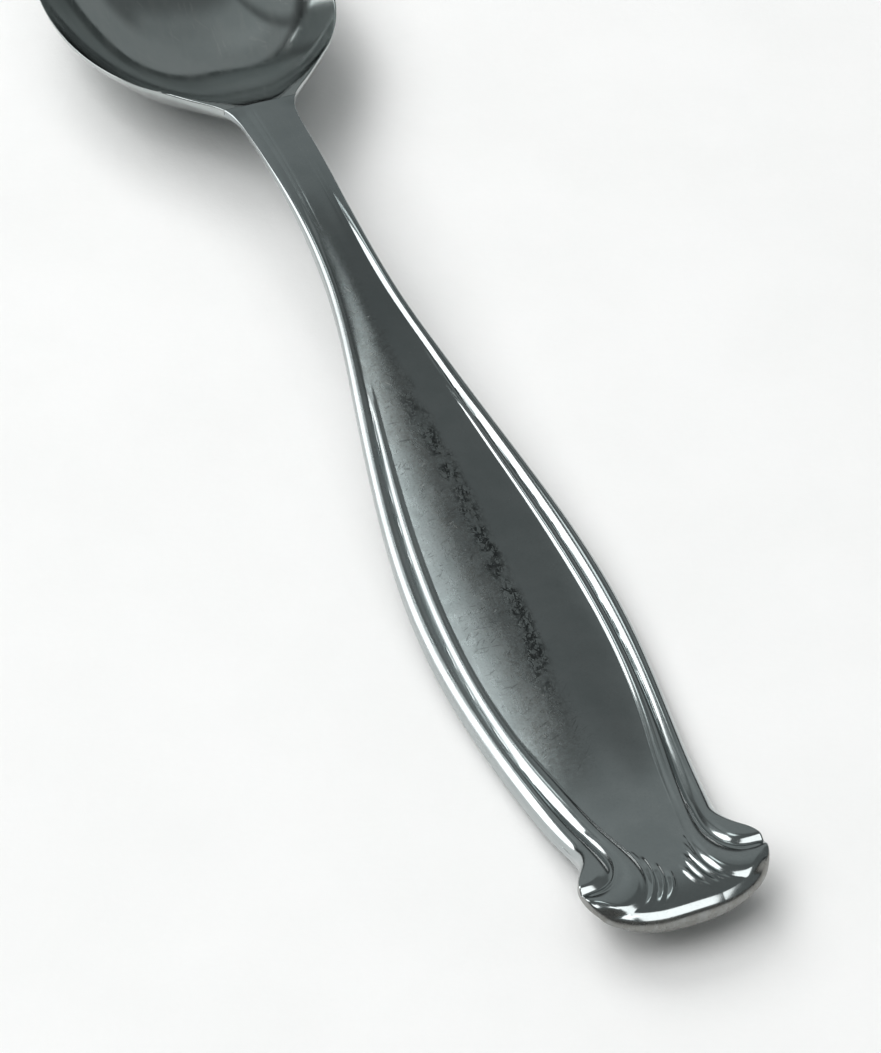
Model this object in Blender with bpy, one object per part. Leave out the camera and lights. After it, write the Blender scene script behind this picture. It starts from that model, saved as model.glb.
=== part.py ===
"""Coffee spoon: an oval bowl and a waisted, threaded handle that meet across the neck.

Metres, +Z up. The spoon lies bowl up on the plane z = 0 with its length along Y, the bowl at +Y.
Lengths below are in millimetres. A station is measured along the spoon from the end of the handle.
"""

import math

import bmesh
import bpy
import numpy as np

MM = 0.001

# Whole spoon
LENGTH = 138.0
NECK = 93.0  # station of the line across the neck, where the two pieces meet
JOINT_GAP = 0.3

# Handle: (station, half width) along its edge, from the tip of the ear to the neck
HALF_WIDTH = (
    (3.5, 7.0), (5.0, 6.7), (6.5, 5.9), (8.0, 5.65), (10.0, 5.85), (14.0, 6.4), (20.0, 7.15), (28.0, 7.85),
    (36.0, 7.75), (46.0, 6.5), (56.0, 4.65), (66.0, 2.9), (76.0, 2.35), (84.0, 2.45), (93.0, 2.75),
)
# Handle: (station, height of the top at its edge), upturned at the end and arched towards the neck
TOP = (
    (0.0, 4.9), (3.0, 4.85), (6.0, 4.25), (10.0, 3.2), (15.0, 2.55), (25.0, 2.6), (45.0, 4.5), (65.0, 8.1),
    (80.0, 10.2), (93.0, 9.6),
)
EAR_TIP = 3.5  # station where the end's arc meets the sides
END_BLEND = 14.0  # station where the rows are straight again
# Handle: (station, thickness at the middle)
THICKNESS = ((0.0, 2.1), (8.0, 2.3), (19.0, 2.55), (40.0, 2.4), (70.0, 2.1), (93.0, 2.1))
SIDE_RELIEF = 0.7  # how far the underside lifts towards the edges
CROWN = 0.35  # rise of the face at its middle
# Threads along the edge: (distance in from the edge, height), edge to face
THREADS = ((0.0, -0.4), (0.57, 0.1), (1.35, -0.2), (2.05, 0.05), (2.4, -0.08))
THREAD_END = (52.0, 62.0)  # stations over which the threads run out into the plain stem

# Bowl
BOWL_MIDDLE = 116.0
BOWL_HALF_WIDTH = 13.4
HEEL_REACH = 21.0
OVAL = 2.05
DEPTH = 7.2
DEEPEST = 114.5
RIM_SAG = (2.53, 1.03)  # fall and recovery of the rim height along the bowl
RIM_WALL = 0.7
FLOOR_WALL = 1.15
HEEL_WALL = 2.1
HEEL_FADE = 5.0

HANDLE_ROWS, BOWL_ROWS, BOWL_COLUMNS = 46, 26, 19


def spline(table):
    """A natural cubic through (x, y) pairs."""
    x, y = (np.array(v, float) for v in zip(*table))
    n, h = len(x), np.diff(x)
    a, b = np.eye(n), np.zeros(n)
    for i in range(1, n - 1):
        a[i, i - 1 : i + 2] = h[i - 1], 2 * (h[i - 1] + h[i]), h[i]
        b[i] = 6 * ((y[i + 1] - y[i]) / h[i] - (y[i] - y[i - 1]) / h[i - 1])
    m = np.linalg.solve(a, b)

    def at(t):
        i = int(np.clip(np.searchsorted(x, t) - 1, 0, n - 2))
        p, q = x[i + 1] - t, t - x[i]
        return float(
            (m[i] * p**3 + m[i + 1] * q**3) / (6 * h[i])
            + (y[i] / h[i] - m[i] * h[i] / 6) * p
            + (y[i + 1] / h[i] - m[i + 1] * h[i] / 6) * q
        )

    return at


def smooth(t, lo, hi):
    u = min(max((t - lo) / (hi - lo), 0.0), 1.0)
    return u * u * (3 - 2 * u)


half_width = spline(HALF_WIDTH)
top_height = spline(TOP)
thickness = spline(THICKNESS)


# ---------------------------------------------------------------- handle
def end_arc(x):
    """Station of the end's arc at a distance x from the middle, between the ears."""
    r = min(abs(x) / half_width(EAR_TIP), 1.0)
    return EAR_TIP * (1 - math.sqrt(max(1 - r**2.6, 0.0)))


def handle_columns(w):
    """Places across the handle at half width w: the edge, each thread, then the face."""
    shrink = min(max((w - 0.9) / 4.2, 0.3), 1.0)
    edge = [w - d * shrink for d, _ in THREADS]
    face = [edge[-1] * f for f in (0.67, 0.33, 0.0)]
    right = edge + face
    return [-x for x in right] + right[-2::-1]


def thread_height(column, s, w):
    last = len(THREADS) - 1
    steps = column if column <= last + 3 else 2 * (last + 3) - column
    run = 1 - smooth(s, *THREAD_END)
    if steps == 0:
        return THREADS[0][1]
    if steps <= last:
        return THREADS[steps][1] * run
    return CROWN * (w / 7.85) ** 2 * (steps - last) / 3


def handle_point(i, j, under):
    s_row = EAR_TIP + (NECK - JOINT_GAP / 2 - EAR_TIP) * (i / HANDLE_ROWS) ** 1.15
    w = half_width(s_row)
    columns = handle_columns(w)
    x = columns[j]
    arc = end_arc(x / w * half_width(EAR_TIP))
    s = s_row + (arc - EAR_TIP) * (1 - smooth(s_row, EAR_TIP, END_BLEND))
    z = top_height(s)
    if under:
        z = max(z - thickness(s) + SIDE_RELIEF * (x / w) ** 2, 0.0)
    else:
        z += thread_height(j, s, w)
    return x, s, z


# ---------------------------------------------------------------- bowl
def bowl_half_width(s):
    reach = HEEL_REACH if s < BOWL_MIDDLE else LENGTH - BOWL_MIDDLE
    r = min(abs(s - BOWL_MIDDLE) / reach, 1.0)
    oval = BOWL_HALF_WIDTH * max(1 - r**OVAL, 0.0) ** (1 / OVAL)
    if s >= BOWL_MIDDLE:
        return oval
    return (oval**3 + half_width(NECK) ** 3) ** (1 / 3)


def rim_height(s):
    u = (s - NECK) / 24.0
    return top_height(NECK) - RIM_SAG[0] * u + RIM_SAG[1] * u * u


def bowl_point(i, j, under):
    last = 127.0  # station where the tip's arc starts at the sides
    s_row = NECK + JOINT_GAP / 2 + (last - NECK - JOINT_GAP / 2) * i / BOWL_ROWS
    u = 2 * j / BOWL_COLUMNS - 1
    x = u * bowl_half_width(s_row)
    # the last row follows the tip's outline, and the rows before it bend towards it
    side = bowl_half_width(last)
    lo, hi = last, LENGTH
    for _ in range(40):
        mid = (lo + hi) / 2
        lo, hi = (mid, hi) if bowl_half_width(mid) > abs(u) * side else (lo, mid)
    s = s_row + (lo - last) * smooth(s_row, NECK, last) ** 1.3
    w = max(bowl_half_width(s), 1e-6)
    across = 1 - min(abs(x) / w, 1.0) ** 2
    reach = DEEPEST - NECK if s < DEEPEST else LENGTH - DEEPEST
    along = max(1 - (abs(s - DEEPEST) / reach) ** 2, 0.0)
    z = rim_height(s) - DEPTH * along * across
    if under:
        heel = (HEEL_WALL - RIM_WALL) * math.exp(-(((s - NECK) / HEEL_FADE) ** 2))
        z = max(z - RIM_WALL - heel - (FLOOR_WALL - RIM_WALL) * across * along, 0.0)
    return x, s, z


# ---------------------------------------------------------------- solids
def metal(name, colour, roughness):
    m = bpy.data.materials.new(name)
    m.use_nodes = True
    shader = m.node_tree.nodes["Principled BSDF"]
    shader.inputs["Base Color"].default_value = (*colour, 1.0)
    shader.inputs["Metallic"].default_value = 1.0
    shader.inputs["Roughness"].default_value = roughness
    return m


def slab(name, rows, columns, point, material, collection):
    """A closed solid from two grids, the top and the underside, bridged round their edges."""
    bm = bmesh.new()
    loops = []
    for under in (False, True):
        grid = bmesh.ops.create_grid(bm, x_segments=columns, y_segments=rows, size=1.0)["verts"]
        for v in grid:
            j = round((v.co.x + 1) / 2 * columns)
            i = round((v.co.y + 1) / 2 * rows)
            x, s, z = point(i, j, under)
            v.co = x * MM, (s - LENGTH / 2) * MM, z * MM
        loops += [e for e in bm.edges if e.is_boundary and e not in loops]
    bmesh.ops.bridge_loops(bm, edges=loops)
    bmesh.ops.recalc_face_normals(bm, faces=bm.faces)
    mesh = bpy.data.meshes.new(name)
    bm.to_mesh(mesh)
    bm.free()
    mesh.shade_smooth()
    mesh.set_sharp_from_angle(angle=math.radians(40))
    mesh.materials.append(material)
    obj = bpy.data.objects.new(name, mesh)
    collection.objects.link(obj)
    return obj


def main():
    for obj in list(bpy.data.objects):
        bpy.data.objects.remove(obj)
    spoon = bpy.data.collections.new("coffee_spoon")
    bpy.context.scene.collection.children.link(spoon)
    root = bpy.data.objects.new("spoon_origin", None)
    spoon.objects.link(root)
    handle_span = len(handle_columns(half_width(20.0))) - 1
    for obj in (
        slab("handle", HANDLE_ROWS, handle_span, handle_point, metal("handle_metal", (0.42, 0.45, 0.45), 0.22), spoon),
        slab("bowl", BOWL_ROWS, BOWL_COLUMNS, bowl_point, metal("bowl_metal", (0.45, 0.48, 0.48), 0.12), spoon),
    ):
        obj.parent = root


main()
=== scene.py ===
"""Looks of the coffee spoon: a polished bowl and a threaded, fluted handle with worn metal finishes.

Lengths below are in millimetres. A station is measured along the spoon from the end of the handle, and the
row frame's Y is the station less half of the spoon's length. Both pieces are the same on the left and right, so
their relief is described for the right half, by the distance x from the middle.
"""

import math

import bpy
import numpy as np
from mathutils import Matrix, Vector

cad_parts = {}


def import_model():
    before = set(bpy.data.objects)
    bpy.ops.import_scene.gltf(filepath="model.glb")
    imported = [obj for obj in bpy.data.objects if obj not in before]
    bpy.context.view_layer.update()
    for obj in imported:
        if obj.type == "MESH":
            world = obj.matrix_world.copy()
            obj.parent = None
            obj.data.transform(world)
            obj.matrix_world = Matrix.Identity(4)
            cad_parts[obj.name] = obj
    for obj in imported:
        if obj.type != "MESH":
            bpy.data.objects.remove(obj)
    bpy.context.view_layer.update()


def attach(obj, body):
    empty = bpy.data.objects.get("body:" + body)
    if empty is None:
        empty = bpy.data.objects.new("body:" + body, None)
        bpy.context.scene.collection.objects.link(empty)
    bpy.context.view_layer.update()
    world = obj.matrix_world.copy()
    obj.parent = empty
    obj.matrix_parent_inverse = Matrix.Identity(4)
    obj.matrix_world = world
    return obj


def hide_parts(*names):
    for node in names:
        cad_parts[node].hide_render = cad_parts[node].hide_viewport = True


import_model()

MM = 0.001
LENGTH = 138.0
NECK = 93.0
SEAM = 0.035  # half of the hairline between the two pieces


# ---------------------------------------------------------------- curves
def spline(table):
    """A natural cubic through (x, y) pairs, for arrays. It runs on straight past its ends."""
    x, y = (np.array(v, float) for v in zip(*table))
    n, h = len(x), np.diff(x)
    a, b = np.eye(n), np.zeros(n)
    for i in range(1, n - 1):
        a[i, i - 1 : i + 2] = h[i - 1], 2 * (h[i - 1] + h[i]), h[i]
        b[i] = 6 * ((y[i + 1] - y[i]) / h[i] - (y[i] - y[i - 1]) / h[i - 1])
    m = np.linalg.solve(a, b)

    def at(t):
        t = np.asarray(t, float)
        c = np.clip(t, x[0], x[-1])
        i = np.clip(np.searchsorted(x, c) - 1, 0, n - 2)
        p, q = x[i + 1] - c, c - x[i]
        inside = (
            (m[i] * p**3 + m[i + 1] * q**3) / (6 * h[i])
            + (y[i] / h[i] - m[i] * h[i] / 6) * p
            + (y[i + 1] / h[i] - m[i + 1] * h[i] / 6) * q
        )
        low = (y[1] - y[0]) / h[0] - h[0] * (2 * m[0] + m[1]) / 6
        high = (y[-1] - y[-2]) / h[-1] + h[-1] * (m[-2] + 2 * m[-1]) / 6
        return inside + np.where(t < x[0], low * (t - x[0]), 0) + np.where(t > x[-1], high * (t - x[-1]), 0)

    return at


def ease(table):
    """A smooth curve through (x, y) pairs that doesn't overshoot them, flat past the ends."""
    x, y = (np.array(v, float) for v in zip(*table))
    h, d = np.diff(x), np.diff(y) / np.diff(x)
    m = np.zeros(len(x))
    for i in range(1, len(x) - 1):
        if d[i - 1] * d[i] > 0:
            a, b = 2 * h[i] + h[i - 1], h[i] + 2 * h[i - 1]
            m[i] = (a + b) / (a / d[i - 1] + b / d[i])

    def at(t):
        t = np.clip(np.asarray(t, float), x[0], x[-1])
        i = np.clip(np.searchsorted(x, t) - 1, 0, len(x) - 2)
        u = (t - x[i]) / h[i]
        return (
            (1 + 2 * u) * (1 - u) ** 2 * y[i]
            + u * (1 - u) ** 2 * h[i] * m[i]
            + u * u * (3 - 2 * u) * y[i + 1]
            + u * u * (u - 1) * h[i] * m[i + 1]
        )

    return at


def smooth(t, lo, hi):
    u = np.clip((np.asarray(t, float) - lo) / (hi - lo), 0.0, 1.0)
    return u * u * (3 - 2 * u)


def path(points, count=420):
    """Points along a smooth plan curve through (x, station) pairs, evenly spaced."""
    p = np.array(points, float)
    d = np.r_[0, np.cumsum(np.hypot(*np.diff(p, axis=0).T))]
    fx, fs = spline(list(zip(d, p[:, 0]))), spline(list(zip(d, p[:, 1])))
    t = np.linspace(0, d[-1], count * 4)
    q = np.stack([fx(t), fs(t)], -1)
    e = np.r_[0, np.cumsum(np.hypot(*np.diff(q, axis=0).T))]
    u = np.linspace(0, e[-1], count)
    return np.stack([np.interp(u, e, q[:, 0]), np.interp(u, e, q[:, 1])], -1)


def offset(line, x, s):
    """Signed distance of plan points from a line: positive to the left of its direction."""
    pts = np.stack([np.ravel(x), np.ravel(s)], -1)
    out = np.empty(len(pts))
    along = np.diff(line, axis=0)
    length = np.maximum((along**2).sum(1), 1e-12)
    last = len(along) - 1
    for k in range(0, len(pts), 4096):
        p = pts[k : k + 4096]
        d2 = ((p[:, None, :] - line[None]) ** 2).sum(-1)
        near = d2.argmin(1)
        best = np.full(len(p), np.inf)
        sign = np.ones(len(p))
        for shift in (-1, 0):
            i = np.clip(near + shift, 0, last)
            t = np.clip(((p - line[i]) * along[i]).sum(1) / length[i], 0, 1)
            v = p - (line[i] + t[:, None] * along[i])
            d = np.hypot(v[:, 0], v[:, 1])
            w = p - line[i]
            side = np.sign(along[i][:, 0] * w[:, 1] - along[i][:, 1] * w[:, 0])
            use = d < best
            best = np.where(use, d, best)
            sign = np.where(use, np.where(side == 0, 1, side), sign)
        out[k : k + 4096] = best * sign
    return out.reshape(np.shape(x))


# ---------------------------------------------------------------- handle
EAR = 3.5  # station of the tip of each ear
END = -0.6  # station of the end between them
half_width = spline((
    (3.5, 7.02), (4.2, 6.98), (5.0, 6.7), (5.7, 6.27), (6.5, 5.9), (8.0, 5.65), (10.0, 5.87), (14.0, 6.42),
    (20.0, 7.15), (28.0, 7.85), (36.0, 7.75), (46.0, 6.5), (56.0, 4.65), (66.0, 2.9), (76.0, 2.35), (84.0, 2.44),
    (89.0, 2.56), (91.0, 2.72), (92.0, 2.95), (93.0, 3.35),
))  # fmt: skip
top_height = spline((
    (0.0, 4.9), (3.0, 4.85), (6.0, 4.25), (10.0, 3.2), (15.0, 2.55), (25.0, 2.6), (45.0, 4.5), (65.0, 8.1),
    (80.0, 10.2), (93.0, 9.6),
))  # fmt: skip
thickness = spline(((-0.5, 2.05), (3.0, 2.1), (8.0, 2.3), (19.0, 2.5), (40.0, 2.4), (70.0, 2.1), (93.0, 2.1)))
side_relief = ease(((0, 1.0), (2.5, 1.15), (5, 1.1), (9, 0.7), (70, 0.7), (82, 1.1), (93, 1.3)))  # how far the underside lifts towards the edges

# Lines of the relief, from the neck to the ear: crest of the outer thread, groove, crest of the inner thread, its foot
CREST = path((
    (2.3, 94.0), (2.1, 84.0), (1.98, 76.0), (2.08, 70.0), (2.55, 65.0), (3.35, 60.0), (4.28, 55.0), (5.3, 50.0),
    (6.85, 40.0), (7.3, 30.0), (6.6, 20.0), (5.85, 14.0), (5.2, 10.0), (4.85, 8.0), (4.78, 6.9), (4.92, 5.85),
    (5.33, 5.02), (6.0, 4.5), (7.4, 4.32),
))  # fmt: skip
VALLEY = path((
    (1.75, 94.0), (1.5, 84.0), (1.46, 76.0), (1.6, 70.0), (2.06, 65.0), (2.82, 60.0), (3.65, 55.0), (4.55, 50.0),
    (5.97, 40.0), (6.5, 30.0), (5.85, 20.0), (4.95, 14.0), (4.25, 10.0), (3.95, 8.0), (3.88, 6.8), (4.0, 5.4),
    (4.42, 4.45), (5.1, 3.9), (6.0, 3.65), (7.6, 3.7),
))  # fmt: skip
INNER = path((
    (1.2, 94.0), (1.05, 84.0), (1.0, 76.0), (1.15, 70.0), (1.62, 65.0), (2.35, 60.0), (3.25, 55.0), (4.05, 50.0),
    (5.38, 40.0), (5.92, 30.0), (5.2, 20.0), (4.1, 14.0), (3.4, 10.0), (3.02, 8.0), (2.78, 6.4), (2.72, 4.9),
    (2.85, 3.6), (3.25, 2.65), (3.85, 2.0), (4.7, 1.62), (5.6, 1.68), (6.4, 2.05), (7.4, 2.7),
))  # fmt: skip
FOOT = path((
    (0.9, 94.0), (0.8, 84.0), (0.8, 76.0), (0.95, 70.0), (1.4, 65.0), (2.12, 60.0), (3.0, 55.0), (3.75, 50.0),
    (4.98, 40.0), (5.48, 30.0), (4.7, 20.0), (3.5, 14.0), (2.8, 10.0), (2.4, 8.0), (2.12, 6.4), (2.0, 5.0),
    (2.12, 3.6), (2.5, 2.4), (3.1, 1.45), (3.85, 0.98), (4.75, 0.85), (5.65, 1.05), (6.4, 1.5), (7.3, 2.2),
))  # fmt: skip
SPLIT = path((
    (4.1, 10.6), (3.78, 9.4), (3.52, 8.0), (3.42, 6.7), (3.55, 5.6), (3.85, 4.8), (4.3, 4.1), (4.85, 3.6),
    (5.5, 3.32), (6.3, 3.25), (7.3, 3.3),
))  # fmt: skip
FLUTES = (
    path(((1.52, 6.6), (1.45, 4.9), (1.52, 3.6), (1.82, 2.5), (2.3, 1.6), (3.0, 0.8))),
    path(((0.95, 5.8), (0.88, 4.2), (0.98, 2.9), (1.3, 1.9), (1.85, 1.0))),
    path(((0.36, 4.8), (0.3, 3.3), (0.45, 2.3), (0.85, 1.4), (1.3, 0.85))),
)
crest_height = ease(((0, 0.2), (5, 0.32), (9, 0.2), (14, 0.16), (22, 0.14), (52, 0.15), (56, 0.2), (60, 0.28), (68, 0.28), (74, 0.15), (84, 0.03), (93, 0.02)))
valley_height = ease(((0, -0.12), (5, -0.14), (9, -0.2), (14, -0.24), (50.5, -0.24), (55, -0.13), (59, -0.03), (62, 0.0), (93, 0.0)))
inner_height = ease(((0, 0.3), (4, 0.27), (8, 0.2), (14, 0.19), (22, 0.2), (34, 0.19), (44, 0.15), (49, 0.14), (54, 0.11), (57.5, 0.0), (93, 0.0)))
face_width = ease(((0, 2.2), (5, 2.1), (8, 2.4), (10, 2.8), (14, 3.5), (20, 4.7), (30, 5.48), (40, 4.98), (50, 3.75), (54, 3.3), (58, 2.95), (62, 2.45), (66, 1.95), (70, 1.62), (76, 1.5), (84, 1.6), (93, 1.85)))
crown_radius = ease(((0, 27), (38, 27), (48, 20), (57, 13), (62, 11), (66, 10.5), (71, 10.5), (76, 18), (80, 24), (86, 34), (93, 60)))
edge_round = ease(((-0.6, 0.3), (1.0, 0.28), (2.6, 0.16), (5.2, 0.16), (6.6, 0.45), (9, 0.95), (14, 1.0), (20, 0.85), (30, 0.75), (48, 0.75), (66, 0.55), (76, 0.38), (80, 0.27), (86, 0.16), (93, 0.12)))
NOSE = 1.0  # how far in from the end its top starts to fall
under_round = ease(((-0.6, 0.75), (1, 0.7), (3, 0.5), (5, 0.45), (10, 0.5), (70, 0.45), (84, 0.3), (93, 0.25)))


def end_arc(r):
    """Station of the handle's end at a share r of the ears' half width."""
    return EAR - (EAR - END) * np.sqrt(np.maximum(1 - np.clip(np.abs(r), 0, 1) ** 2.6, 0.0))


def outline():
    """The right half of the handle's outline, from its end to past the neck."""
    a = np.linspace(0, np.pi / 2, 260)
    end = np.stack([half_width(EAR) * np.sin(a) ** (2 / 2.6), EAR - (EAR - END) * np.cos(a)], -1)
    s = np.concatenate([np.linspace(EAR, 14, 260)[1:], np.linspace(14, NECK + 4, 420)[1:]])
    return np.concatenate([end, np.stack([half_width(s), s], -1)])


EDGE = outline()


def step_up(d, rise, fall):
    """A flute's profile at a distance d outside its line: a steep rounded rise, then a slow fall."""
    up = 1 - (1 - np.clip(d / rise, 0, 1)) ** 2
    return np.where(d < rise, up, np.clip(1 - (d - rise) / fall, 0, 1))


def relief(x, s):
    """Height of the threads and flutes over the plain face, for x >= 0."""
    crest, valley, inner, foot = (offset(line, x, s) for line in (CREST, VALLEY, INNER, FOOT))
    hc, hv, hi = crest_height(s), valley_height(s), inner_height(s)
    # towards the end the groove and the foot are rounded, further up they are sharp
    blunt = 0.08 * (1 - smooth(s, 13, 17))
    soft = lambda d: np.sqrt(d * d + blunt * blunt) - blunt
    share = lambda a, b: a / np.maximum(a - b, 1e-6)
    h = np.select(
        [crest >= 0, valley >= 0, inner >= 0, foot >= 0],
        [
            hc,
            hc - (hc - hv) * (1 - share(soft(valley), crest)) ** 2,
            hi - (hi - hv) * share(inner, -soft(valley)) ** 2,
            hi - hi * (1 - share(soft(foot), inner)) ** 2,
        ],
        0.0,
    )
    split = offset(SPLIT, x, s)
    h = h + 0.1 * step_up(split, 0.16, 0.36) * (1 - smooth(s, 8.6, 10.4)) * (1 - smooth(x, 6.2, 7.0))
    # the foot of the inner thread starts down the end as a thin ridge
    h = h + 0.06 * np.exp(-(((foot + 0.05) / 0.12) ** 2)) * smooth(s, 3.6, 5.0) * (1 - smooth(s, 6.0, 6.6))
    for line, top in zip(FLUTES, (6.0, 5.0, 4.0)):
        d = offset(line, x, s)
        h = h + 0.15 * step_up(d, 0.27, 0.32) * (1 - smooth(s, top - 1.5, top)) * smooth(s, 0.7, 1.8)
    return h


def handle_top(x, s, e):
    x = np.abs(x)
    wf = face_width(s)
    crown = wf**2 / (2 * crown_radius(s)) * (1 - np.minimum(x / wf, 1) ** 2) ** (1 + 0.6 * smooth(s, 58, 64))
    r = edge_round(s)
    drop = r * (1 - np.sqrt(np.maximum(1 - (np.maximum(r - e, 0) / r) ** 2, 0)))
    at_end = 1 - smooth(s, 0.9, 3.2)
    nose = 0.68 * at_end * np.maximum(1 - e / NOSE, 0) ** 2
    carved = relief(x, s) * (1 - (1 - smooth(e, 0.1, 0.75)) * at_end)
    # the stem has a slight fall towards its edges, and a faint line where that starts
    fall = 0.13 * np.clip(x - 0.95, 0, 1.5) + 0.018 * np.exp(-(((x - 1.0) / 0.13) ** 2))
    fall = fall * smooth(s, 72, 79) * (1 - smooth(s, 91.0, NECK))
    return top_height(s) + crown + carved - drop - nose - fall


def handle_under(x, s, e):
    x = np.abs(x)
    w = np.maximum(half_width(np.maximum(s, EAR)), 0.5)
    z = top_height(s) - thickness(s) + side_relief(s) * (x / w) ** 2
    z = 0.5 * (z + np.sqrt(z * z + 0.02))
    r = under_round(s)
    return z + r * (1 - np.sqrt(np.maximum(1 - (np.maximum(r - e, 0) / r) ** 2, 0)))


def handle_grid():
    """Plan places of the handle's grid: rows from the end to the neck, columns from left to right."""
    half = 110
    v = np.linspace(0, 1, half + 1)
    # across the end: even along the end's arc, and closer together over the flutes
    a = np.sin(np.linspace(0, np.pi / 2, 2000)) ** (2 / 2.6)
    w = float(half_width(EAR))
    step = np.hypot(np.diff(a * w), np.diff(end_arc(a))) * (1.6 - 0.6 * smooth((a * w)[1:], 2.6, 3.8))
    run = np.concatenate([[0.0], np.cumsum(step)])
    end = np.interp(v * run[-1], run, a)
    # across the grip: close together over the threads
    t = np.concatenate([[0.0], 1 - np.cos(np.linspace(0, np.pi / 2, 9))[1:]]) * 0.5
    rows = np.concatenate([
        EAR + 1.2 * np.linspace(0, 1, 26)[:-1] ** 1.5,
        np.linspace(EAR + 1.2, 14, 126)[:-1],
        np.linspace(14, 86, 94)[:-1],
        np.linspace(86, NECK - SEAM, 22),
    ])
    x, s = np.empty((len(rows), half + 1)), np.empty((len(rows), half + 1))
    for i, row in enumerate(rows):
        w = float(half_width(row))
        k = min(max((w - 0.9) / 4.2, 0.3), 1.0)
        edge = np.concatenate([t, np.linspace(0.5, 2.75, 42)[1:]]) * k
        inner = np.linspace(0, w - edge[-1], half + 1 - len(edge) + 1)[:-1]
        grip = np.concatenate([inner, (w - edge)[::-1]]) / w
        mix = float(smooth(row, 5.5, 11))
        u = end * (1 - mix) + grip * mix
        x[i] = u * w
        s[i] = row + (end_arc(u) - EAR) * (1 - float(smooth(row, EAR, 14)))
    return np.concatenate([-x[:, :0:-1], x], 1), np.concatenate([s[:, :0:-1], s], 1)


# ---------------------------------------------------------------- bowl
MIDDLE, BOWL_HALF, HEEL_REACH, OVAL = 116.0, 13.4, 21.0, 2.05
DEPTH, DEEPEST, ACROSS = 6.8, 114.5, 2.8
RIM_WALL, FLOOR_WALL, HEEL_WALL, HEEL_FADE = 0.5, 1.55, 2.1, 5.0
RIM_ROUND = 0.21


shoulder = spline(((92.0, 2.95), (93.0, 3.35), (94.0, 4.0), (95.0, 4.85), (96.0, 5.72), (97.0, 6.52), (98.0, 7.3), (99.0, 8.08), (100.0, 8.85)))  # half width next to the neck


def bowl_half_width(s):
    reach = np.where(s < MIDDLE, HEEL_REACH, LENGTH - MIDDLE)
    r = np.minimum(np.abs(s - MIDDLE) / reach, 1.0)
    oval = BOWL_HALF * np.maximum(1 - r**OVAL, 0.0) ** (1 / OVAL)
    return np.where(s >= 100.0, oval, shoulder(s))


def rim_height(s):
    u = (s - NECK) / 24.0
    return float(top_height(NECK)) - 2.53 * u + 1.03 * u * u


def bowl_outline():
    """The right side of the bowl's outline, evenly spaced from the neck to the tip."""
    a = np.linspace(0, np.pi, 6000)
    s = NECK + SEAM + (LENGTH - NECK - SEAM) * (1 - np.cos(a)) / 2
    p = np.stack([bowl_half_width(s), s], -1)
    p[-1, 0] = 0.0
    d = np.r_[0, np.cumsum(np.hypot(*np.diff(p, axis=0).T))]
    u = np.linspace(0, d[-1], 180)
    return np.stack([np.interp(u, d, p[:, 0]), np.interp(u, d, p[:, 1])], -1)


def bowl_surfaces(x, s, e):
    x = np.abs(x)
    w = np.maximum(bowl_half_width(s), 1e-6)
    near = np.exp(-(((s - NECK) / 3.0) ** 2))
    lip = 1.45 * np.exp(-(((w - float(half_width(NECK))) / 2.4) ** 2))
    inside = np.maximum(w - lip, 0.3)
    q = np.minimum(x / inside, 1.0)
    power = ACROSS + 1.2 * near
    across = 1 - q**power
    reach = np.where(s < DEEPEST, DEEPEST - NECK, LENGTH - DEEPEST)
    along = np.maximum(1 - (np.abs(s - DEEPEST) / reach) ** 2, 0.0)
    bevel = 0.04 * near * np.exp(-(((x - inside) / 0.2) ** 2))
    r = RIM_ROUND + (float(edge_round(NECK)) - RIM_ROUND) * near
    drop = r * (1 - np.sqrt(np.maximum(1 - (np.maximum(r - e, 0) / r) ** 2, 0)))
    top = rim_height(s) - DEPTH * along * across - bevel - drop
    plain = 1 - np.minimum(x / w, 1.0) ** (2.4 - 0.4 * np.exp(-(((s - NECK) / 12.0) ** 2)))
    relief_side = float(side_relief(NECK))
    wall = RIM_WALL + (HEEL_WALL - relief_side - RIM_WALL) * np.exp(-(((s - NECK) / 2.2) ** 2))
    heel = relief_side * np.exp(-(((s - NECK) / HEEL_FADE) ** 2))
    under = rim_height(s) - DEPTH * along * plain - wall - heel * plain - (FLOOR_WALL - RIM_WALL) * plain * along
    under = 0.5 * (under + np.sqrt(under * under + 0.02))
    r = 0.2 + (float(under_round(NECK)) - 0.2) * near
    under = under + r * (1 - np.sqrt(np.maximum(1 - (np.maximum(r - e, 0) / r) ** 2, 0)))
    return top, under


# ---------------------------------------------------------------- meshes
def make(name, verts, faces, sharp=50):
    mesh = bpy.data.meshes.new(name)
    mesh.from_pydata((np.asarray(verts) * MM).tolist(), [], faces)
    mesh.validate()
    mesh.update()
    mesh.shade_smooth()
    mesh.set_sharp_from_angle(angle=math.radians(sharp))
    obj = bpy.data.objects.new(name, mesh)
    bpy.context.scene.collection.objects.link(obj)
    return obj


def place(x, s, z):
    return np.stack([np.ravel(x), np.ravel(s) - LENGTH / 2, np.ravel(z)], -1)


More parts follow.
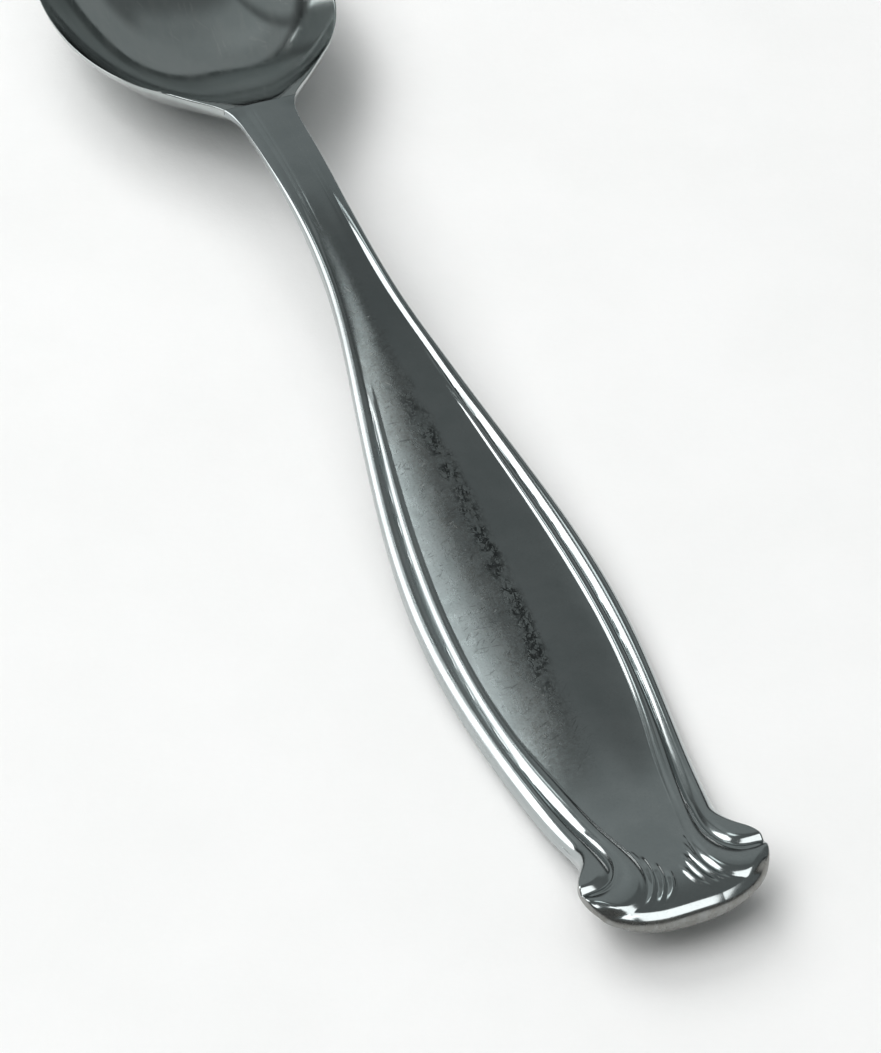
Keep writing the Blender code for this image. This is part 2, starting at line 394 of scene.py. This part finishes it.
def handle_mesh():
    x, s = handle_grid()
    e = np.abs(offset(EDGE, np.abs(x), s))
    e[0], e[:, 0], e[:, -1] = 0, 0, 0
    top = handle_top(x, s, e)
    bx, bs, be = x[:, ::2], s[:, ::2], e[:, ::2]
    under = np.minimum(handle_under(bx, bs, be), top[:, ::2] - 0.02)
    rows, cols = x.shape
    low = bx.shape[1]
    verts = [place(x, s, top), place(bx, bs, under)]
    base = rows * cols
    t = lambda i, j: i * cols + j
    b = lambda i, j: base + i * low + j
    faces = [(t(i, j), t(i, j + 1), t(i + 1, j + 1), t(i + 1, j)) for i in range(rows - 1) for j in range(cols - 1)]
    faces += [(b(i, j), b(i + 1, j), b(i + 1, j + 1), b(i, j + 1)) for i in range(rows - 1) for j in range(low - 1)]
    # the side wall, in bands from the top's border down to the underside's
    bands = 5
    count = base + rows * low

    def wall(top_ring, low_ring):
        nonlocal count
        upper = np.concatenate(verts)[top_ring]
        lower = np.concatenate(verts)[low_ring]
        rings = [list(top_ring)]
        for k in range(1, bands):
            verts.append(upper + (lower - upper) * k / bands)
            rings.append(list(range(count, count + len(top_ring))))
            count += len(top_ring)
        return rings

    for j, k, flip in ((0, 0, False), (cols - 1, low - 1, True)):
        rings = wall([t(i, j) for i in range(rows)], [b(i, k) for i in range(rows)])
        rings.append([b(i, k) for i in range(rows)])
        for p, q in zip(rings, rings[1:]):
            for i in range(rows - 1):
                f = (p[i], p[i + 1], q[i + 1], q[i])
                faces.append(f[::-1] if flip else f)
        if flip:
            right = rings
        else:
            left = rings
    for i, flip in ((0, True), (rows - 1, False)):
        line = [t(i, j) for j in range(cols)]
        under_line = [b(i, j) for j in range(low)]
        full = [under_line[j // 2] for j in range(cols)]
        upper, lower = np.concatenate(verts)[line], np.concatenate(verts)[full]
        odd = np.arange(1, cols - 1, 2)
        lower[odd] = (lower[odd - 1] + lower[odd + 1]) / 2
        rings = [line]
        for k in range(1, bands):
            ring = []
            for j in range(cols):
                if j == 0:
                    ring.append(left[k][i])
                elif j == cols - 1:
                    ring.append(right[k][i])
                else:
                    ring.append(count)
                    count += 1
            verts.append((upper + (lower - upper) * k / bands)[1:-1])
            rings.append(ring)
        for p, q in zip(rings, rings[1:]):
            for j in range(cols - 1):
                f = (p[j], q[j], q[j + 1], p[j + 1])
                faces.append(f if flip else f[::-1])
        p = rings[-1]
        for j in range(low - 1):
            for f in (
                (p[2 * j], under_line[j], p[2 * j + 1]),
                (p[2 * j + 1], under_line[j], under_line[j + 1]),
                (p[2 * j + 1], under_line[j + 1], p[2 * j + 2]),
            ):
                faces.append(f if flip else f[::-1])
    return make("handle_shell", np.concatenate(verts), faces)


def bowl_mesh():
    side = bowl_outline()
    neck = np.linspace(-side[0, 0], side[0, 0], 42)[1:-1]
    ring = np.concatenate([
        np.stack([neck, np.full(len(neck), side[0, 1])], -1),
        side,
        np.stack([-side[-2::-1, 0], side[-2::-1, 1]], -1),
    ])
    count = len(ring)
    centre = np.array([0.0, DEEPEST])
    reach = np.hypot(*(ring - centre).T)
    fine = 1 - (1 - np.cos(np.linspace(0, np.pi / 2, 9))) * 0.35 / 16.0
    t = np.concatenate([np.linspace(0.03, 1, 84)[:-1] * fine[-1], fine[::-1]])
    p = centre + t[:, None, None] * (ring - centre)[None]
    x, s = p[..., 0], p[..., 1]
    line = np.concatenate([[[side[0, 0] - 0.3, NECK - 4.0]], side, [[-0.01, LENGTH]]])
    line[0, 0] = side[0, 0]
    mirror = np.abs(x)
    e = np.abs(offset(line, mirror, s))
    e[-1, len(neck) :] = 0
    top, under = bowl_surfaces(x, s, e)
    under = np.minimum(under, top - 0.02)
    tc, uc = bowl_surfaces(np.array([0.0]), np.array([DEEPEST]), np.array([5.0]))
    rings = len(t)
    verts = [place(x, s, top), place(x, s, under), place(0.0, DEEPEST, tc), place(0.0, DEEPEST, uc)]
    a = lambda k, j: k * count + j % count
    b = lambda k, j: rings * count + k * count + j % count
    ca, cb = 2 * rings * count, 2 * rings * count + 1
    faces = []
    for k in range(rings - 1):
        for j in range(count):
            faces.append((a(k, j), a(k + 1, j), a(k + 1, j + 1), a(k, j + 1)))
            faces.append((b(k, j), b(k, j + 1), b(k + 1, j + 1), b(k + 1, j)))
    for j in range(count):
        faces.append((ca, a(0, j), a(0, j + 1)))
        faces.append((cb, b(0, j + 1), b(0, j)))
    bands = 4
    start = 2 * rings * count + 2
    upper, lower = place(x, s, top)[(rings - 1) * count :], place(x, s, under)[(rings - 1) * count :]
    loops = [[a(rings - 1, j) for j in range(count)]]
    for k in range(1, bands):
        verts.append(upper + (lower - upper) * k / bands)
        loops.append(list(range(start, start + count)))
        start += count
    loops.append([b(rings - 1, j) for j in range(count)])
    for p, q in zip(loops, loops[1:]):
        for j in range(count):
            n = (j + 1) % count
            faces.append((p[j], q[j], q[n], p[n]))
    return make("bowl_shell", np.concatenate(verts), faces)


# ---------------------------------------------------------------- materials
def material(name):
    m = bpy.data.materials.new(name)
    m.use_nodes = True
    shader = m.node_tree.nodes["Principled BSDF"]
    shader.inputs["Metallic"].default_value = 1.0
    return m, m.node_tree, shader


def node(tree, kind, **values):
    n = tree.nodes.new(kind)
    for key, value in values.items():
        if hasattr(n, key):
            setattr(n, key, value)
        else:
            n.inputs[key.replace("_", " ")].default_value = value
    return n


class Shade:
    """Short names for building a material's nodes. Sizes are in millimetres."""

    def __init__(self, name, metallic=1.0):
        self.material, self.tree, self.shader = material(name)
        self.shader.inputs["Metallic"].default_value = metallic
        source = self.tree.nodes.new("ShaderNodeTexCoord").outputs
        self.place = self.mapped(source["Object"], scale=(1000, 1000, 1000))
        upright = self.tree.nodes.new("ShaderNodeSeparateXYZ")
        self.link(source["Normal"], upright.inputs[0])
        self.facing_up = upright.outputs[2]
        split = self.tree.nodes.new("ShaderNodeSeparateXYZ")
        self.link(self.place, split.inputs[0])
        self.x, self.y, self.z = split.outputs

    def link(self, a, b):
        self.tree.links.new(a, b)

    def mapped(self, source, scale=(1, 1, 1), turn=0.0, shift=(0, 0, 0)):
        if turn:
            source = self.turned(source, turn)
        n = self.tree.nodes.new("ShaderNodeMapping")
        n.inputs["Scale"].default_value = scale
        n.inputs["Location"].default_value = shift
        self.link(source, n.inputs["Vector"])
        return n.outputs[0]

    def turned(self, source, turn):
        n = self.tree.nodes.new("ShaderNodeMapping")
        n.inputs["Rotation"].default_value = (0, 0, turn)
        self.link(source, n.inputs["Vector"])
        return n.outputs[0]

    def put(self, socket, value):
        if isinstance(value, (int, float)):
            socket.default_value = value
        elif isinstance(value, tuple):
            socket.default_value = value
        else:
            self.link(value, socket)

    def math(self, how, a, b=0.0, c=None):
        n = self.tree.nodes.new("ShaderNodeMath")
        n.operation = how
        self.put(n.inputs[0], a)
        self.put(n.inputs[1], b)
        if c is not None:
            self.put(n.inputs[2], c)
        return n.outputs[0]

    def add(self, a, b):
        return self.math("ADD", a, b)

    def mul(self, a, b):
        return self.math("MULTIPLY", a, b)

    def fade(self, value, lo, hi, out=(0.0, 1.0)):
        n = self.tree.nodes.new("ShaderNodeMapRange")
        n.interpolation_type = "SMOOTHSTEP"
        self.put(n.inputs["Value"], value)
        for key, v in (("From Min", lo), ("From Max", hi), ("To Min", out[0]), ("To Max", out[1])):
            n.inputs[key].default_value = v
        return n.outputs["Result"]

    def noise(self, scale, detail=3.0, rough=0.55, stretch=(1, 1, 1), turn=0.0, shift=(0, 0, 0), warp=0.0):
        n = self.tree.nodes.new("ShaderNodeTexNoise")
        self.link(self.mapped(self.place, stretch, turn, shift), n.inputs["Vector"])
        n.inputs["Scale"].default_value = scale
        n.inputs["Detail"].default_value = detail
        n.inputs["Roughness"].default_value = rough
        n.inputs["Distortion"].default_value = warp
        return n.outputs["Fac"]

    def cells(self, scale, feature="F1", stretch=(1, 1, 1), turn=0.0, shift=(0, 0, 0), warp=None):
        n = self.tree.nodes.new("ShaderNodeTexVoronoi")
        n.feature = feature
        source = self.mapped(self.place, stretch, turn, shift)
        if warp is not None:
            v = self.tree.nodes.new("ShaderNodeVectorMath")
            self.link(source, v.inputs[0])
            self.link(warp, v.inputs[1])
            source = v.outputs[0]
        self.link(source, n.inputs["Vector"])
        n.inputs["Scale"].default_value = scale
        return n.outputs["Distance"]

    def line(self, stops):
        """A value that follows (station, value) pairs along the spoon."""
        n = self.tree.nodes.new("ShaderNodeFloatCurve")
        lo, hi = stops[0][0], stops[-1][0]
        low, high = min(v for _, v in stops), max(v for _, v in stops)
        span = (high - low) or 1.0
        c = n.mapping.curves[0]
        while len(c.points) < len(stops):
            c.points.new(0.5, 0.5)
        for point, (s, v) in zip(c.points, stops):
            point.location = ((s - lo) / (hi - lo), (v - low) / span)
        n.mapping.update()
        share = self.math("MULTIPLY_ADD", self.y, 1 / (hi - lo), (LENGTH / 2 - lo) / (hi - lo))
        clamp = self.tree.nodes.new("ShaderNodeClamp")
        self.link(share, clamp.inputs[0])
        self.link(clamp.outputs[0], n.inputs["Value"])
        return self.math("MULTIPLY_ADD", n.outputs[0], span, low)

    def blend(self, fac, a, b):
        n = self.tree.nodes.new("ShaderNodeMix")
        n.data_type = "RGBA"
        self.put(n.inputs["Factor"], fac)
        for socket, value in ((n.inputs[6], a), (n.inputs[7], b)):
            self.put(socket, (*value, 1.0) if isinstance(value, tuple) else value)
        return n.outputs[2]

    def bump(self, height, depth, under=None):
        n = self.tree.nodes.new("ShaderNodeBump")
        n.inputs["Strength"].default_value = 1.0
        n.inputs["Distance"].default_value = depth * MM
        self.link(height, n.inputs["Height"])
        if under is not None:
            self.link(under, n.inputs["Normal"])
        return n.outputs[0]

    def scratches(self, scale, stretch, turn, shift, keep):
        """Thin marks along one direction, 1 on a mark."""
        f = self.noise(scale, 1.0, 0.4, stretch=stretch, turn=turn, shift=shift)
        return self.fade(f, keep, keep + 0.06)


def handle_metal():
    """Polished steel, rubbed dull on the left of the face, with a stained and crackled line along its middle, a
    painted highlight along that line and painted shade on the down-facing wall round the end.
    """
    m = Shade("handle_metal_worn_and_painted_shade")
    width = m.line(((14, 3.5), (20, 4.7), (25, 5.25), (30, 5.48), (40, 4.98), (50, 3.75), (58, 2.9), (66, 1.95), (76, 1.5)))
    uneven = m.math("SUBTRACT", m.noise(0.5, 4.0, 0.6), 0.5)
    across = m.math("MULTIPLY_ADD", uneven, 0.5, m.math("DIVIDE", m.x, width))
    face = m.mul(m.fade(m.y, 12 - 69, 22 - 69), m.fade(m.y, 80 - 69, 60 - 69))
    rubbed = m.mul(m.fade(across, 0.05, -0.6), face)
    middle = m.line(((14, -1.9), (20, -1.5), (26, -0.8), (32, -0.2), (40, -0.1), (46, 0.0), (52, -0.4), (58, -0.7), (64, -0.8)))
    from_middle = m.math("SUBTRACT", m.math("MULTIPLY_ADD", uneven, 1.3, m.x), middle)
    away = m.math("ABSOLUTE", from_middle)
    # brown-grey stain to the left of the middle
    stain = m.mul(m.mul(m.fade(from_middle, -3.8, -1.6), m.fade(from_middle, 1.4, 0.1)), face)
    stain = m.mul(stain, m.fade(m.noise(3.2, 8.0, 0.85, shift=(7, 3, 0)), 0.4, 0.62))
    # crackle along the middle
    core = m.mul(m.fade(away, 1.2, 0.35), m.mul(m.fade(m.y, 17 - 69, 27 - 69), m.fade(m.y, 63 - 69, 50 - 69)))
    vein = m.fade(m.math("ABSOLUTE", m.math("SUBTRACT", m.noise(1.1, 3.0, 0.65, stretch=(1.35, 0.75, 1), turn=0.25), 0.5)), 0.05, 0.015)
    web = m.fade(m.cells(1.5, "DISTANCE_TO_EDGE", stretch=(1.6, 0.75, 1), turn=-0.2), 0.12, 0.04)
    web = m.mul(web, m.fade(m.noise(2.2, 3.0, 0.6, shift=(6, 6, 0)), 0.42, 0.54))
    stroke = m.scratches(3.4, (1, 0.3, 1), 0.3, (2, 3, 0), 0.6)
    web = m.math("MAXIMUM", web, m.math("MAXIMUM", stroke, m.scratches(3.0, (1, 0.3, 1), -0.45, (5, 1, 0), 0.61)))
    blot = m.fade(m.noise(2.8, 6.0, 0.75, stretch=(1.2, 0.8, 1)), 0.53, 0.66)
    patchy = m.fade(m.noise(0.7, 3.0, 0.6, shift=(2, 9, 0)), 0.36, 0.54, (0.3, 1.0))
    crackle = m.mul(m.mul(core, patchy), m.math("MAXIMUM", m.math("MAXIMUM", vein, web), blot))
    # dark scratches that cross the dull zone, and a grain of specks
    zone = m.mul(m.mul(m.fade(across, -1.02, -0.85), m.fade(across, 0.2, -0.2)), face)
    hair = m.math("MAXIMUM", m.scratches(6.0, (1, 0.07, 1), 1.2, (1, 5, 0), 0.69), m.scratches(5.4, (1, 0.08, 1), 0.75, (9, 2, 0), 0.7))
    hair = m.mul(m.math("MAXIMUM", hair, m.scratches(5.6, (1, 0.06, 1), 1.75, (4, 7, 0), 0.7)), zone)
    grain = m.noise(6.0, 5.0, 0.85)
    speck = m.mul(m.fade(grain, 0.5, 0.66), m.math("MAXIMUM", m.math("MAXIMUM", zone, stain), 0.24))
    nick = m.math("MAXIMUM", m.scratches(3.6, (1, 0.22, 1), 1.15, (3, 1, 0), 0.73), m.scratches(3.2, (1, 0.2, 1), -0.5, (8, 2, 0), 0.74))
    nick = m.mul(nick, m.math("MAXIMUM", m.mul(stain, 0.9), m.mul(zone, 0.4)))
    brushed = m.noise(4.0, 3.0, 0.6, stretch=(1, 0.07, 1), turn=0.06)
    colour = m.blend(m.fade(m.noise(0.3, 4.0), 0.3, 0.7), (0.415, 0.45, 0.452), (0.462, 0.494, 0.496))
    colour = m.blend(m.mul(stain, 0.62), colour, (0.25, 0.238, 0.218))
    colour = m.blend(m.mul(m.mul(m.fade(grain, 0.46, 0.3), zone), 0.5), colour, (0.62, 0.65, 0.65))
    colour = m.blend(m.mul(speck, 0.6), colour, (0.17, 0.172, 0.165))
    colour = m.blend(m.mul(hair, 0.6), colour, (0.14, 0.145, 0.145))
    # painted highlight: a lighter tone along the crackled middle stands in for light caught by the crackle's facets
    colour = m.blend(m.mul(core, 0.3), colour, (0.55, 0.6, 0.6))
    colour = m.blend(m.mul(crackle, 0.97), colour, (0.05, 0.055, 0.055))
    colour = m.blend(m.mul(nick, 0.85), colour, (0.8, 0.8, 0.78))
    # the stem is a little darker than the grip
    colour = m.blend(m.fade(m.y, 54 - 69, 66 - 69, (0.0, 0.4)), colour, (0.27, 0.3, 0.305))
    # painted shade: the wall round the end is darkened where it faces down, standing in for the shadowed floor it
    # reflects; it is also rougher, so duller, than the face
    end_wall_shade_and_dullness = m.mul(m.fade(m.facing_up, 0.72, 0.58), m.fade(m.y, 7.5 - 69, 3.5 - 69))
    end_wall_shade_and_dullness = m.mul(end_wall_shade_and_dullness, m.fade(m.noise(1.2, 4.0, 0.65), 0.25, 0.6, (0.65, 1.0)))
    # painted shade on the down-facing wall round the end, olive-grey and mottled
    colour = m.blend(m.mul(end_wall_shade_and_dullness, 0.9), colour, (0.215, 0.21, 0.195))
    m.link(colour, m.shader.inputs["Base Color"])
    rough = m.add(m.math("MULTIPLY_ADD", end_wall_shade_and_dullness, 0.14, 0.12), m.mul(m.fade(m.noise(0.9, 4.0), 0.3, 0.8), 0.05))
    rough = m.add(rough, m.mul(rubbed, 0.1))
    rough = m.add(rough, m.mul(m.math("MAXIMUM", crackle, nick), 0.2))
    rough = m.add(rough, m.mul(m.mul(brushed, rubbed), 0.1))
    m.link(rough, m.shader.inputs["Roughness"])
    low = m.math("SUBTRACT", m.mul(m.noise(6.0, 4.0, 0.7), m.add(m.mul(rubbed, 0.3), 0.06)), m.add(m.mul(crackle, 0.8), m.mul(hair, 0.4)))
    m.link(m.bump(low, 0.004), m.shader.inputs["Normal"])
    return m.material


def bowl_metal():
    """Brightly polished steel with the soft streaks and fine scratches of stirring."""
    m = Shade("bowl_metal_polished")
    cloud = m.noise(0.22, 5.0, 0.6, stretch=(1.3, 0.7, 1))
    streak = m.noise(0.9, 3.0, 0.55, stretch=(1, 0.14, 1), turn=0.2)
    hair = m.math("MAXIMUM", m.scratches(3.0, (1, 0.05, 1), 0.12, (2, 0, 0), 0.68), m.scratches(2.6, (1, 0.07, 1), -0.35, (5, 4, 0), 0.69))
    colour = m.blend(m.fade(cloud, 0.3, 0.72), (0.4, 0.433, 0.43), (0.45, 0.478, 0.474))
    colour = m.blend(m.mul(m.fade(streak, 0.45, 0.72), 0.5), colour, (0.47, 0.49, 0.48))
    colour = m.blend(m.mul(hair, 0.3), colour, (0.55, 0.56, 0.55))
    m.link(colour, m.shader.inputs["Base Color"])
    rough = m.add(0.07, m.mul(m.fade(streak, 0.35, 0.7), 0.05))
    rough = m.add(rough, m.mul(hair, 0.06))
    m.link(rough, m.shader.inputs["Roughness"])
    m.link(m.bump(hair, -0.001), m.shader.inputs["Normal"])
    return m.material


def floor_paint():
    """Pale matt board with a faint grain."""
    m = Shade("pale_floor", 0.0)
    colour = m.blend(m.fade(m.noise(0.05, 5.0, 0.6), 0.3, 0.7), (0.85, 0.85, 0.843), (0.875, 0.873, 0.868))
    m.link(colour, m.shader.inputs["Base Color"])
    m.shader.inputs["Roughness"].default_value = 0.9
    m.link(m.bump(m.noise(1.6, 3.0, 0.6), 0.03), m.shader.inputs["Normal"])
    return m.material


# ---------------------------------------------------------------- scene
handle = handle_mesh()
handle.data.materials.append(handle_metal())
bowl = bowl_mesh()
bowl.data.materials.append(bowl_metal())
for piece, body_node, slot in ((handle, "handle", "handle_metal"), (bowl, "bowl", "bowl_metal")):
    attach(piece, "root")
    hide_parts(body_node)

floor_mesh = bpy.data.meshes.new("floor")
floor_mesh.from_pydata([(-3, -3, 0), (3, -3, 0), (3, 3, 0), (-3, 3, 0)], [], [(0, 1, 2, 3)])
floor = bpy.data.objects.new("floor", floor_mesh)
floor.data.materials.append(floor_paint())
bpy.context.scene.collection.objects.link(floor)


# ---------------------------------------------------------------- camera
def camera():
    """The view over the handle's end towards the bowl."""
    distance, rise, turn = 230.0, math.radians(43.55), math.radians(-21.25)
    target = np.array([-3.58, 39.42, 7.0])
    back = np.array([math.sin(turn) * math.cos(rise), -math.cos(turn) * math.cos(rise), math.sin(rise)])
    right = np.array([math.cos(turn), math.sin(turn), 0.0])
    up = np.cross(back, right)
    eye = target + back * distance
    tip = -0.01  # the spoon's lean on its bowl and handle
    c, q = math.cos(tip), math.sin(tip)
    lean = np.array([[1, 0, 0], [0, c, -q], [0, q, c]])
    pivot = np.array([0.0, 15.0, 2.55])
    eye = pivot + lean @ (eye - pivot)
    back, right, up = lean @ back, lean @ right, lean @ up
    data = bpy.data.cameras.new("camera")
    data.sensor_fit = "VERTICAL"
    data.sensor_height = 24.0
    data.lens = 67.9
    data.clip_start = 0.01
    obj = bpy.data.objects.new("camera", data)
    eye = (eye - [0, LENGTH / 2, 0]) * MM
    obj.matrix_world = Matrix((
        (right[0], up[0], back[0], eye[0]),
        (right[1], up[1], back[1], eye[1]),
        (right[2], up[2], back[2], eye[2]),
        (0, 0, 0, 1),
    ))
    bpy.context.scene.collection.objects.link(obj)
    bpy.context.scene.camera = obj


camera()


# ---------------------------------------------------------------- light
def world():
    """A dim room with a dark horizon and a grey wall behind the bowl."""
    w = bpy.data.worlds.new("studio")
    w.use_nodes = True
    bpy.context.scene.world = w
    tree = w.node_tree
    background = tree.nodes["Background"]
    split = tree.nodes.new("ShaderNodeSeparateXYZ")
    tree.links.new(tree.nodes.new("ShaderNodeTexCoord").outputs["Generated"], split.inputs[0])
    x, y, z = split.outputs

    def value(how, a, b):
        n = tree.nodes.new("ShaderNodeMath")
        n.operation = how
        for socket, v in zip(n.inputs, (a, b)):
            if isinstance(v, (int, float)):
                socket.default_value = v
            else:
                tree.links.new(v, socket)
        return n.outputs[0]

    def fade(v, lo, hi, out=(0.0, 1.0)):
        n = tree.nodes.new("ShaderNodeMapRange")
        n.interpolation_type = "SMOOTHSTEP"
        tree.links.new(v, n.inputs["Value"])
        limits = math.radians(lo), math.radians(hi), *out
        for key, limit in zip(("From Min", "From Max", "To Min", "To Max"), limits):
            n.inputs[key].default_value = limit
        return n.outputs["Result"]

    turn, rise = value("ARCTAN2", x, y), value("ARCSINE", z, 0.0)

    def patch(strength, left, right, low, high):
        """A patch of light between angles, each given as where it starts and where it is full."""
        sides = value("MULTIPLY", fade(turn, *left), fade(turn, *right))
        ends = value("MULTIPLY", fade(rise, *low), fade(rise, *high, (0.0, strength)))
        return value("MULTIPLY", sides, ends)

    wall = patch(0.15, (-20, -16), (74, 46), (10, 15), (42, 32))
    upper = patch(0.12, (-20, -16), (36, 24), (32, 42), (54, 43))
    lit = patch(0.06, (-20, -16), (18, 0), (20, 30), (58, 46))
    side = patch(0.18, (-46, -41), (-20, -26), (11, 16), (62, 50))
    total = fade(rise, 7, 14, (0.05, 0.158))
    for light in (wall, upper, lit, side):
        total = value("ADD", total, light)
    background.inputs["Color"].default_value = (0.93, 1.0, 1.0, 1)
    tree.links.new(total, background.inputs["Strength"])


def panel(name, centre, facing, size, radiance, colour=(1, 1, 1), glossy=True, diffuse=True):
    """A soft rectangular light at a place in metres, width first, that faces along a direction."""
    data = bpy.data.lights.new(name, "AREA")
    data.shape = "RECTANGLE"
    data.size, data.size_y = size
    data.energy = radiance * math.pi * size[0] * size[1]
    data.color = colour
    obj = bpy.data.objects.new(name, data)
    obj.location = centre
    obj.rotation_euler = Vector(facing).to_track_quat("-Z", "Y").to_euler()
    bpy.context.scene.collection.objects.link(obj)
    obj.visible_camera = False
    obj.visible_glossy = glossy
    obj.visible_diffuse = diffuse
    return obj


world()
panel("window", (-0.9, 0.725, 0.95), (1, 0, 0), (0.95, 1.9), 3.0, diffuse=False)
panel("corner_box", (-0.465, -0.574, 0.946), (0.465, 0.574, -0.946), (0.55, 0.5), 2.4, diffuse=False)
panel("front_box", (0.25, -0.68, 1.02), (0, 0.68, -1.02), (0.9, 1.15), 2.0, diffuse=False)
glow = panel("glow", (-0.109, 0.6175, 1.023), (0.109, -0.6175, -1.023), (0.24, 0.36), 1.7, (0.93, 1.0, 1.0), diffuse=False)
lit_by_glow = bpy.data.collections.new("lit_by_glow")
lit_by_glow.objects.link(handle)
glow.light_linking.receiver_collection = lit_by_glow
panel("key_fill", (-0.25, 0.78, 0.92), (0.25, -0.78, -0.92), (0.8, 0.7), 3.4, glossy=False)
panel("overhead", (-0.1, 0.15, 1.2), (0, 0, -1), (1.4, 1.4), 0.85, glossy=False)
panel("window_fill", (-0.75, -0.15, 1.15), (0.75, 0.15, -1.15), (1.0, 0.9), 3.6, glossy=False)
panel("side_fill", (1.0, 0.1, 0.9), (-1, 0, -0.4), (2.0, 1.4), 0.15, glossy=False)
bpy.context.scene.view_settings.view_transform = "Standard"
